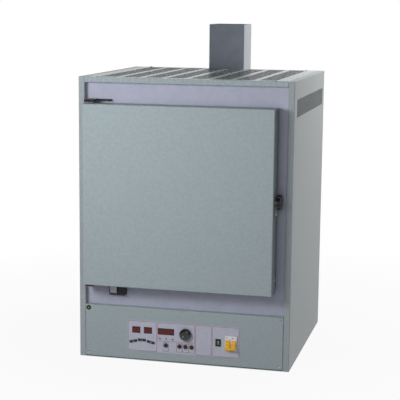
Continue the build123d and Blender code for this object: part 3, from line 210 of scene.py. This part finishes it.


# Top cover and sides: the same coat, with painted shade on the walls of their punched slots.
# Those walls, which face along the sheet, are coloured dark for the shade that falls inside the slots.
def paint_slot_shade(material, shader, place, colour, across, middle, reach):
    """Paints shade on the walls of punched slots as a dark colour: faces that turn from the sheet's own axis,
    across, and lie inside a box given by its middle and its half size."""
    flat = put(material, "ShaderNodeNewGeometry")
    turn = put(material, "ShaderNodeSeparateXYZ", {}, {0: flat.outputs["True Normal"]})
    level = put(material, "ShaderNodeMath", {"operation": "ABSOLUTE"}, {0: turn.outputs[across]})
    upright = put(material, "ShaderNodeMath", {"operation": "LESS_THAN", 1: 0.5}, {0: level.outputs[0]})
    shift = put(material, "ShaderNodeVectorMath", {"operation": "SUBTRACT", 1: middle}, {0: place})
    where = put(material, "ShaderNodeSeparateXYZ", {}, {0: shift.outputs[0]})
    for axis, half in zip("XYZ", reach):
        far = put(material, "ShaderNodeMath", {"operation": "ABSOLUTE"}, {0: where.outputs[axis]})
        near = put(material, "ShaderNodeMath", {"operation": "LESS_THAN", 1: half}, {0: far.outputs[0]})
        upright = put(material, "ShaderNodeMath", {"operation": "MULTIPLY"},
                      {0: upright.outputs[0], 1: near.outputs[0]})
    # Painted shade: slot walls inside the box take the dark colour, for the shade inside the slots.
    mix = put(material, "ShaderNodeMix", {"data_type": "RGBA", 7: linear(colour)},
              {0: upright.outputs[0], 6: shader.inputs["Base Color"].links[0].from_socket})
    material.node_tree.links.new(mix.outputs[2], shader.inputs["Base Color"])


cover_coat, cover_shader, cover_place = surface("cover_powder_coat", "#96A1A3", "#A0ABAC", 9, 3, 0.25, 0.27,
                                                edge=1.1, highlight_tint="#D3D9D9", highlight_share=0.5)
cover_slots_middle, cover_slots_reach = (0, 0, 0.829), (0.268, 0.27, 0.01)
paint_slot_shade(cover_coat, cover_shader, cover_place, "#262A2C", "Z", cover_slots_middle, cover_slots_reach)
dress(cover_coat, "top_cover")
side_coat, side_shader, side_place = surface("side_powder_coat", "#969EA1", "#A0A8AA", 9, 3, 0.25, 0.42,
                                             edge=1.1, highlight_tint="#D3D9D9", highlight_share=0.75)
side_slots_middle, side_slots_reach = (0, 0.0065, 0.7515), (0.32, 0.25, 0.03)
paint_slot_shade(side_coat, side_shader, side_place, "#3E4446", "X", side_slots_middle, side_slots_reach)
dress(side_coat, "left_side_panel", "right_side_panel")

# Front plate and inner shelf: a paler, smoother lavender grey coat.
plate_coat, _, _ = surface("lavender_powder_coat", "#A8AAB8", "#B0B2C1", 20, 2, 0.12, 0.4, edge=1.0,
                           highlight_tint="#D2D3DC", highlight_share=0.6)
dress(plate_coat, "front_plate", "inner_shelf")


# Insulation jacket, duct and breaker rail: zinc-coated sheet steel.
# Hot dipped, so that zinc crystals of 5 to 15 mm show as patches of different grey.
def spangle(name, dark, light, crystal, roughness):
    """Zinc-coated sheet: each Voronoi cell of crystal mm has its own tone between dark and light."""
    material, shader, place = surface(name, dark, light, 40, 2, 0.06, roughness, 0.6, 0.8, "#D8DCDF", 0.6)
    cells = put(material, "ShaderNodeTexVoronoi", {"Scale": 1000 / crystal}, {"Vector": place})
    shade = put(material, "ShaderNodeSeparateColor", {}, {0: cells.outputs["Color"]})
    tone = put(material, "ShaderNodeMix", {"data_type": "RGBA", 6: linear(dark), 7: linear(light)},
               {0: shade.outputs[0]})
    both = put(material, "ShaderNodeMix", {"data_type": "RGBA", 0: 0.4, 7: (0, 0, 0, 1)},
               {6: shader.inputs["Base Color"].links[0].from_socket, 7: tone.outputs[2]})
    material.node_tree.links.new(both.outputs[2], shader.inputs["Base Color"])
    return material


# Painted shade: the jacket and rail inside the casing get a darker zinc tone than the duct, for the dim inside seen
# through the vents.
dress(spangle("shaded_zinc_coated_sheet", "#63696D", "#7A8084", 9, 0.5), "insulation_jacket", "mounting_rail")
dress(spangle("zinc_coated_duct", "#8F959E", "#9CA2AB", 12, 0.3), "exhaust_duct")

# Muffle, hearth, heater plates and tube: pressed and fired alumina ceramic, matt and slightly stained.
# Heat leaves it cream with fine pores of about 1 mm, drawn at 2 mm.
fired, _, _ = surface("fired_alumina", "#CFC3AE", "#E6DFD0", 45, 2, 0.5, 0.9, edge=1.5, highlight_tint="#F2EDE2", highlight_share=0.5)
dress(fired, "muffle_chamber", "heater_plates", "exhaust_tube", "thermocouple_sheath")
slab, _, _ = surface("hearth_slab", "#B9AC97", "#D4C8B5", 30, 3, 0.6, 0.92, edge=1.5, highlight_tint="#E8E0D0", highlight_share=0.5)
dress(slab, "hearth_plate")

# Fibre boards round the muffle and in the door: ceramic wool pressed to slabs, white and soft.
# The felted fibres show as soft clouds of tone and a coarse relief.
board, _, _ = surface("ceramic_fibre_board", "#DAD5CA", "#F3F0E8", 18, 4, 1.2, 0.97)
dress(board, "muffle_insulation", "door_insulation")

# Door gasket: square rope braided from glass-fibre yarn, tucked round the door's plug.
# Two sets of slanting strands 3 mm apart cross over each other.
rope, rope_shader, rope_place = surface("braided_glass_rope", "#C9C4B8", "#E5E1D7", 6, 2, 0.4, 0.95)
strand_slant = 0.9
strands = []
for turn in (strand_slant, -strand_slant):
    slant = put(rope, "ShaderNodeMapping", {"Rotation": (0, turn, 0)}, {"Vector": rope_place})
    strands.append(put(rope, "ShaderNodeTexWave", {"Scale": 55.0, "Distortion": 0.6},
                       {"Vector": slant.outputs[0]}))
crossing = put(rope, "ShaderNodeMath", {"operation": "MAXIMUM"},
               {0: strands[0].outputs["Fac"], 1: strands[1].outputs["Fac"]})
braid = put(rope, "ShaderNodeBump", {"Strength": 0.9, "Distance": 0.001}, {"Height": crossing.outputs[0]})
rope.node_tree.links.new(braid.outputs[0], rope_shader.inputs["Normal"])
dress(rope, "door_gasket")


# Heater coils: iron-chromium-aluminium wire wound into spirals, lying in the heater plates' grooves.
# Each spiral is 10 mm across and runs the length of its groove.
def grid_piece(name, grids, material, body, along=False, across=False):
    """A piece made of grids of points, shaped (copies, rows, columns, 3). Each square of four neighbours is
    a face, and a grid may close on itself along its rows or across its columns."""
    copies, rows, columns = grids.shape[:3]
    row, column = np.meshgrid(np.arange(rows if along else rows - 1),
                              np.arange(columns if across else columns - 1), indexing="ij")
    after, beside = (row + 1) % rows, (column + 1) % columns
    square = np.stack([row * columns + column, row * columns + beside,
                       after * columns + beside, after * columns + column], -1).reshape(-1, 4)
    faces = (square[None] + (np.arange(copies) * rows * columns)[:, None, None]).reshape(-1, 4)
    mesh = bpy.data.meshes.new(name)
    mesh.from_pydata(grids.reshape(-1, 3).tolist(), [], faces.tolist())
    mesh.materials.append(material)
    mesh.shade_smooth()
    piece = bpy.data.objects.new(name, mesh)
    bpy.context.scene.collection.objects.link(piece)
    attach(piece, body)
    return piece


coil_low, coil_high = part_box("heater_coils")
coil_turns, coil_steps, wire_sides = 56, 12, 5
coil_reach, wire = 0.0042, 0.0008
step = np.linspace(0, coil_turns * 2 * np.pi, coil_turns * coil_steps + 1)[:, None]
side = np.linspace(0, 2 * np.pi, wire_sides, endpoint=False)[None, :]
# A wire circle swept round the spiral: distance from its axis is the reach plus wire times cosine of the
# angle round the wire, and its place along the axis grows by the pitch in each turn.
reach = coil_reach + wire * np.cos(side)
spiral = np.stack([reach * np.cos(step), step / (coil_turns * 2 * np.pi) + 0 * side, reach * np.sin(step)], -1)
length = coil_high.y - coil_low.y - 4 * wire
spiral[..., 1] = coil_low.y + 2 * wire + spiral[..., 1] * length + wire * np.sin(side)
coil_radius, coil_rows = 0.005, 5
coil_xs = (coil_low.x + coil_radius, coil_high.x - coil_radius)
coil_zs = np.linspace(coil_low.z + coil_radius, coil_high.z - coil_radius, coil_rows)
centres = np.array([(x, 0, z) for x in coil_xs for z in coil_zs])
coil_wire, _, _ = surface("oxidised_resistance_wire", "#4B4641", "#6A635B", 12, 1, 0.05, 0.6, 0.7)
coils = grid_piece("heater_spirals", spiral[None] + centres[:, None, None, :], coil_wire, "casing",
                   across=True)
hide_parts("heater_coils")

# Thermocouple head behind the muffle: brown moulded ceramic block with its terminals.
head, _, _ = surface("glazed_terminal_block", "#6B5442", "#7D6450", 15, 2, 0.1, 0.35)
dress(head, "thermocouple_head")

# Door: folded pan with an inner liner, coated like the casing.
# The liner faces the heat, and its coat is a shade darker.
dress(powder_coat, "door_pan")
liner_coat, _, _ = surface("heat_darkened_coat", "#8A9093", "#A0A6A9", 60, 3, 0.2, 0.5,
                           edge=1.1, highlight_tint="#C8CCCE", highlight_share=0.6)
dress(liner_coat, "door_liner")

# Hinges: bars cut from 5 mm steel plate and blackened, turned brass pins and bushes.
black_bar, _, _ = surface("blackened_steel", "#262A2C", "#35393B", 12, 1.5, 0.1, 0.45, 0.4,
                          edge=0.8, highlight_tint="#B4B7B6", highlight_share=0.8)
dress(black_bar, "hinge_brackets")
lug_steel, _, _ = surface("passivated_lug_steel", "#8A8F90", "#A2A7A8", 12, 1.5, 0.08, 0.38, 0.7,
                          edge=0.8, highlight_tint="#E0E2E2", highlight_share=0.8)
dress(lug_steel, "hinge_lugs")
turned_brass, _, _ = surface("turned_brass", "#A8874B", "#C5A464", 8, 1, 0.05, 0.32, 1.0,
                             edge=0.5, highlight_tint="#EAD9A8", highlight_share=0.8)
dress(turned_brass, "hinge_pins", "hinge_bushes", "latch_bush", "earth_screw")

# Latch: laser-cut zinc-plated hook, turned by a lobed knob moulded in black phenolic resin.
plated, _, _ = surface("bright_zinc_plate", "#9A9FA2", "#B7BCBE", 10, 1, 0.04, 0.34, 0.9,
                       edge=0.5, highlight_tint="#E4E7E8", highlight_share=0.7)
dress(plated, "latch_hook", "latch_keeper", "interlock_tab", "casing_screws", "door_screws")
phenolic, _, _ = surface("black_phenolic", "#060708", "#0D0E10", 6, 1.2, 0.06, 0.22, edge=0.8,
                         highlight_tint="#6A6D70", highlight_share=0.5)
dress(phenolic, "latch_knob")

# Door interlock switch: moulded glass-filled nylon body and plunger, with a fine eroded grain.
nylon, _, _ = surface("glass_filled_nylon", "#0D0E10", "#16181A", 5, 1.5, 0.12, 0.5, edge=0.8,
                      highlight_tint="#74787B", highlight_share=0.6)
dress(nylon, "interlock_body", "interlock_plunger", "cable_gland", "terminal_block")

# Faceplate: grey polycarbonate plate with windows, printed with dark red frames.
film, _, _ = surface("satin_polycarbonate", "#B0B2BE", "#B9BBC6", 14, 2, 0.03, 0.35, edge=0.5,
                     highlight_tint="#D6D6DC", highlight_share=0.6)
dress(film, "faceplate")
ink, _, _ = surface("screen_print_red", "#8E1D36", "#9A2841", 5, 1, 0.01, 0.5)
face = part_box("faceplate")[0].y * 1000
line_width, frame_corner, print_rise = 0.9, 2.5, 0.05


def rounded_loop(centre_x, centre_z, width, height, corner, inset, count=8):
    """Points round a rectangle with round corners: four quarter circles of the corner radius less the
    inset, about centres that lie the corner radius inside the sides."""
    quarter = np.arange(4)[:, None] * np.pi / 2 + np.linspace(0, np.pi / 2, count)[None, :]
    sign_x = np.array([1, -1, -1, 1])[:, None]
    sign_z = np.array([1, 1, -1, -1])[:, None]
    x = centre_x + sign_x * (width / 2 - corner) + (corner - inset) * np.cos(quarter)
    z = centre_z + sign_z * (height / 2 - corner) + (corner - inset) * np.sin(quarter)
    return x.ravel(), z.ravel()


def frame_lines(frames, line, y):
    """Flat line round each (left, right, bottom, top) frame, all in mm: a loop and the same loop inset."""
    loops = []
    for low_x, high_x, low_z, high_z in frames:
        edges = [rounded_loop((low_x + high_x) / 2, (low_z + high_z) / 2, high_x - low_x, high_z - low_z,
                              frame_corner, inset) for inset in (0, line)]
        loops.append(np.stack([np.stack([x, np.full_like(x, y), z], -1) for x, z in edges], 1))
    return np.array(loops) / 1000


frames = ((-165.4, -77.5, 29.2, 118.8), (-75.2, 37.2, 63, 118.8), (39.4, 86.6, 29.2, 118.8),
          (88.8, 168.4, 29.2, 118.8), (-58, -41.2, 33, 59.8), (-18, -0.6, 33, 59.8), (0.6, 18, 33, 59.8),
          (19.2, 36.6, 33, 59.8))
print_lines = grid_piece("faceplate_frames", frame_lines(frames, line_width, face - print_rise), ink,
                         "casing", along=True)
thick = print_lines.modifiers.new("thickness", "SOLIDIFY")
thick.thickness = 0.00008
thick.offset = 0


def bars(centres, lengths, widths, angles, y):
    """Flat bars on a plane that faces forward: each is a 2 by 2 grid, half its length and width from its
    centre, turned by its angle from upright. Sizes are in mm."""
    centre, length, width, angle = (np.atleast_1d(np.asarray(a, float)) for a in (centres, lengths, widths, angles))
    count = len(centre)
    length, width, angle = (np.broadcast_to(a, count) for a in (length, width, angle))
    low_high = np.array([-0.5, 0.5])
    long, wide = np.meshgrid(low_high, low_high, indexing="ij")
    x = centre[:, 0, None, None] + (long * length[:, None, None]) * np.sin(angle)[:, None, None] + (
        wide * width[:, None, None]) * np.cos(angle)[:, None, None]
    z = centre[:, 1, None, None] + (long * length[:, None, None]) * np.cos(angle)[:, None, None] - (
        wide * width[:, None, None]) * np.sin(angle)[:, None, None]
    return np.stack([x, np.full_like(x, y), z], -1) / 1000


def thin(piece, thickness):
    """Gives flat printed or moulded marks a thickness of some mm, and square shading."""
    piece.data.shade_flat()
    solid = piece.modifiers.new("thickness", "SOLIDIFY")
    solid.thickness = thickness / 1000
    solid.offset = 0
    return piece


# Scale round the dial: eleven ticks over 270 degrees, printed in the frames' red.
white_ink, _, _ = surface("screen_print_white", "#E4E4E8", "#EEEEF0", 5, 1, 0.01, 0.5)
dial_x, dial_z, scale_end, ticks = 10, 89, 135, 11
scale_radius, tick_length = 21, 3.4
tick_angle = np.radians(np.linspace(-scale_end, scale_end, ticks))
tick_centres = np.stack([dial_x + scale_radius * np.sin(tick_angle),
                         dial_z + scale_radius * np.cos(tick_angle)], -1)
thin(grid_piece("dial_scale", bars(tick_centres, tick_length, line_width, tick_angle, face - print_rise), ink,
                "casing"), 0.1)

# Displays: dark red acrylic windows over unlit seven-bar figures.
window, _, _ = surface("dark_red_acrylic", "#3C0003", "#4A0205", 10, 2, 0.01, 0.12)
dress(window, "displays")
unlit, _, _ = surface("unlit_segment", "#6E050B", "#7A080F", 5, 1, 0.01, 0.3)
# One figure's bars: places across and up in mm, and 1 where the bar lies flat
figure_bars = np.array([(0, 5, 1), (0, 0, 1), (0, -5, 1), (-2.5, 2.5, 0), (2.5, 2.5, 0), (-2.5, -2.5, 0),
                        (2.5, -2.5, 0)], float)
figure_pitch, figure_z, figure_lean, bar_length, figure_rise = 7.6, 92, 0.12, 4.2, 0.32
figure_xs = [x + step for x, count in ((-140.3, 3), (-104.6, 3), (-49.7, 6))
             for step in (np.arange(count) - (count - 1) / 2) * figure_pitch]
segments = np.array([(x + bar[0] + bar[1] * figure_lean, figure_z + bar[1])
                     for x in figure_xs for bar in figure_bars])
leaning = np.array([np.pi / 2 if bar[2] else figure_lean for _ in figure_xs for bar in figure_bars])
thin(grid_piece("display_figures", bars(segments, bar_length, line_width, leaning, face - figure_rise), unlit,
                "casing"), 0.06)

# Lamps, keys and buttons: small moulded plastic caps that stand through the plate.
lamp_cap, lamp_shader, _ = surface("dark_lamp_lens", "#2A0C10", "#36121A", 4, 1, 0.02, 0.15)
lamp_shader.inputs["Coat Weight"].default_value = 0.5
dress(lamp_cap, "status_lamps")
key_cap, _, _ = surface("moulded_dark_grey", "#1D1E21", "#26272B", 6, 1.2, 0.05, 0.45, edge=0.5,
                        highlight_tint="#7C7E84", highlight_share=0.6)
dress(key_cap, "slim_key_left", "slim_key_middle", "slim_key_right")
button_cap, _, _ = surface("moulded_black_cap", "#121316", "#1A1B1E", 6, 1.2, 0.05, 0.4, edge=0.5,
                           highlight_tint="#5A5C62", highlight_share=0.6)
dress(button_cap, "round_button_1", "round_button_2", "round_button_3", "round_button_4")
bezel, _, _ = surface("moulded_bezel", "#3A3B40", "#47484D", 6, 1.2, 0.05, 0.4, edge=0.4, highlight_tint="#8F9096", highlight_share=0.6)
dress(bezel, "button_bezels")
key_mark_length, key_mark_rise = 5, 1.62
for name, x, z, tilt in (("slim_key_left", -149, 57, 13), ("slim_key_middle", -123, 62, 0),
                         ("slim_key_right", -96, 57, -13)):
    lean = math.radians(tilt)
    mark = bars([(x, z)], key_mark_length, line_width, [math.pi / 2 - lean], face - key_mark_rise)
    thin(grid_piece(name + "_mark", mark, white_ink, name.replace("slim_key", "key")), 0.1)

# Dial: glossy moulded ABS knob with a pale pointer line let into its face.
gloss, gloss_shader, _ = surface("glossy_black_abs", "#0E0F11", "#15171A", 8, 2, 0.01, 0.16)
gloss_shader.inputs["Coat Weight"].default_value = 0.5
gloss_shader.inputs["Coat Roughness"].default_value = 0.08
dress(gloss, "power_dial")
dial_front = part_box("power_dial")[0].y * 1000
pointer_angle = math.radians(-scale_end)
pointer_radius, pointer_length = 7, 5
pointer_centre = (dial_x + pointer_radius * math.sin(pointer_angle),
                  dial_z + pointer_radius * math.cos(pointer_angle))
thin(grid_piece("dial_pointer", bars([pointer_centre], pointer_length, line_width, [pointer_angle],
                                     dial_front - 0.04), white_ink, "dial"), 0.12)
dress(nylon, "potentiometer")

# Rocker switch: black nylon frame and key, with a green lens let into the key's hollow front.
dress(phenolic, "rocker_housing", "rocker_key")
lens_green, lens_shader, _ = surface("green_switch_lens", "#2F9E4A", "#46B660", 6, 2, 0.02, 0.2)
lens_shader.inputs["Coat Weight"].default_value = 0.5
pivot = np.array([107, face + 1, 71.5])
lens_half_height, lens_half_width, lens_rise, lens_sink = 6.2, 2.6, 0.55, 0.1
key_half_height, key_rise = 7.93, 1.305
over = np.linspace(-lens_half_height, lens_half_height, 13)[:, None]
wide = np.linspace(-lens_half_width, lens_half_width, 5)[None, :]
# Lens face: over the key's shallow hollow, which is deepest at its middle, with edges that drop to it
depth = -(key_rise + key_rise * np.abs(over) / key_half_height) - lens_rise * (
    1 - (np.abs(over) / lens_half_height) ** 6) * (1 - (np.abs(wide) / lens_half_width) ** 6) + lens_sink
tilt = math.radians(12)
lens_grid = np.stack([pivot[0] + wide + 0 * over,
                      pivot[1] + depth * math.cos(tilt) - over * math.sin(tilt),
                      pivot[2] + depth * math.sin(tilt) + over * math.cos(tilt) + 0 * wide], -1) / 1000
lens_piece = grid_piece("rocker_lens", lens_grid[None], lens_green, "rocker")
lens_piece.modifiers.new("wall", "SOLIDIFY").thickness = 0.0003

# Two-pole breaker: white thermoset case, amber handles joined by a bar, and two small flag windows.
case_white, _, _ = surface("white_thermoset", "#D9DADC", "#E6E7E9", 8, 1.5, 0.04, 0.4, edge=0.6,
                           highlight_tint="#F4F4F5", highlight_share=0.5)
dress(case_white, "breaker_body")
amber, _, _ = surface("amber_nylon", "#EDAE1E", "#F6BC2E", 5, 1.2, 0.04, 0.35, edge=0.6,
                      highlight_tint="#FFD560", highlight_share=0.5)
dress(amber, "breaker_handle")
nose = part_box("breaker_body")[0].y * 1000
yellow, _, _ = surface("yellow_print", "#D9B93A", "#E4C74C", 5, 1, 0.01, 0.5)
stripe_centre, stripe_length = (145, 85.4), 33
flag_centres, flag_height, flag_width = ((132.9, 88.6), (150.8, 88.6)), 2.6, 3.4
thin(grid_piece("breaker_line", bars([stripe_centre], stripe_length, line_width, [math.pi / 2], nose - 0.03),
                yellow, "casing"), 0.1)
thin(grid_piece("breaker_flags", bars(flag_centres, flag_height, flag_width, [0, 0], nose - 0.05), nylon,
                "casing"), 0.14)

# Parts behind the panel: green circuit board, transformer with a laminated core, finned heat sink.
laminate, laminate_shader, board_xyz = surface("green_solder_mask", "#1F5A34", "#2C6E43", 10, 2, 0.05, 0.35)
tracks = put(laminate, "ShaderNodeTexBrick", {"Scale": 60.0, "Color1": linear("#2A7A48"),
                                              "Color2": linear("#1D5532"), "Mortar": linear("#7FA06A")},
             {"Vector": put(laminate, "ShaderNodeMapping", {"Rotation": (math.pi / 2, 0, 0)},
                            {"Vector": board_xyz}).outputs[0]})
laminate.node_tree.links.new(tracks.outputs["Color"], laminate_shader.inputs["Base Color"])
dress(laminate, "control_board")
core, core_shader, core_place = surface("laminated_core_steel", "#54585B", "#6A6E71", 8, 1, 0.1, 0.5, 0.6)
layers = put(core, "ShaderNodeTexWave", {"bands_direction": "Y", "Scale": 160.0}, {"Vector": core_place})
stack = put(core, "ShaderNodeBump", {"Strength": 0.5, "Distance": 0.0004}, {"Height": layers.outputs["Fac"]})
core.node_tree.links.new(stack.outputs[0], core_shader.inputs["Normal"])
dress(core, "transformer")
extruded, _, _ = surface("extruded_aluminium", "#A3A7A9", "#B9BCBE", 10, 1, 0.05, 0.38, 0.9, edge=0.4,
                         highlight_tint="#E2E4E5", highlight_share=0.6)
dress(extruded, "heat_sink")
dress(phenolic, "power_regulator")

# Earth screw's washer: black oxidised steel ring under the brass head, on the control panel's top left.
# The profile gives the distance from the screw's axis and the height over the panel, in mm.
earth_x, earth_z, washer_seat = -287.5, 149, face + 1
washer_turn = np.linspace(0, 2 * np.pi, 32, endpoint=False)[:, None]
washer_reach = np.array([3.3, 3.3, 3.5, 6.9, 7.2, 7.2])[None, :]
washer_rise = np.array([0, 0.9, 1.1, 1.1, 0.9, 0])[None, :]
washer = np.stack([earth_x + washer_reach * np.cos(washer_turn), washer_seat - washer_rise + 0 * washer_turn,
                   earth_z + washer_reach * np.sin(washer_turn)], -1) / 1000
grid_piece("earth_washer", washer[None], black_bar, "casing", along=True, across=True)


# Small screws that the casing's own solids don't have: one on the control panel, one on the right side.
# Pressed pan heads with a cross recess, zinc plated.
def pan_heads(places, radius, height):
    """Round heads over (origin, outward, sideways, upward) rows: height falls off with the fourth power of
    the distance from the middle, less a cross-shaped recess. The recess is given as shares of the radius
    and height."""
    arm_half_width, arm_reach, recess = 0.16, 0.66, 0.45
    far, round_ = np.meshgrid(np.linspace(0.02, 1, 13), np.linspace(0, 2 * np.pi, 32, endpoint=False),
                              indexing="ij")
    a, b = far * np.cos(round_), far * np.sin(round_)
    cross = np.minimum(np.abs(a), np.abs(b)) < arm_half_width
    rise = height * (1 - far ** 4) - recess * height * (cross & (far < arm_reach))
    heads = [np.array(origin) + a[..., None] * radius * np.array(sideways) + b[..., None] * radius
             * np.array(upward) + rise[..., None] * np.array(outward)
             for origin, outward, sideways, upward in places]
    return np.array(heads) / 1000


head_radius, head_height = 2.4, 1.1
head_places = [((-0.4, -287.5, 155.2), (0, -1, 0), (1, 0, 0), (0, 0, 1)),
               ((315, -225, 818), (1, 0, 0), (0, 1, 0), (0, 0, 1))]
grid_piece("small_screws", pan_heads(head_places, head_radius, head_height), plated, "casing",
           across=True)
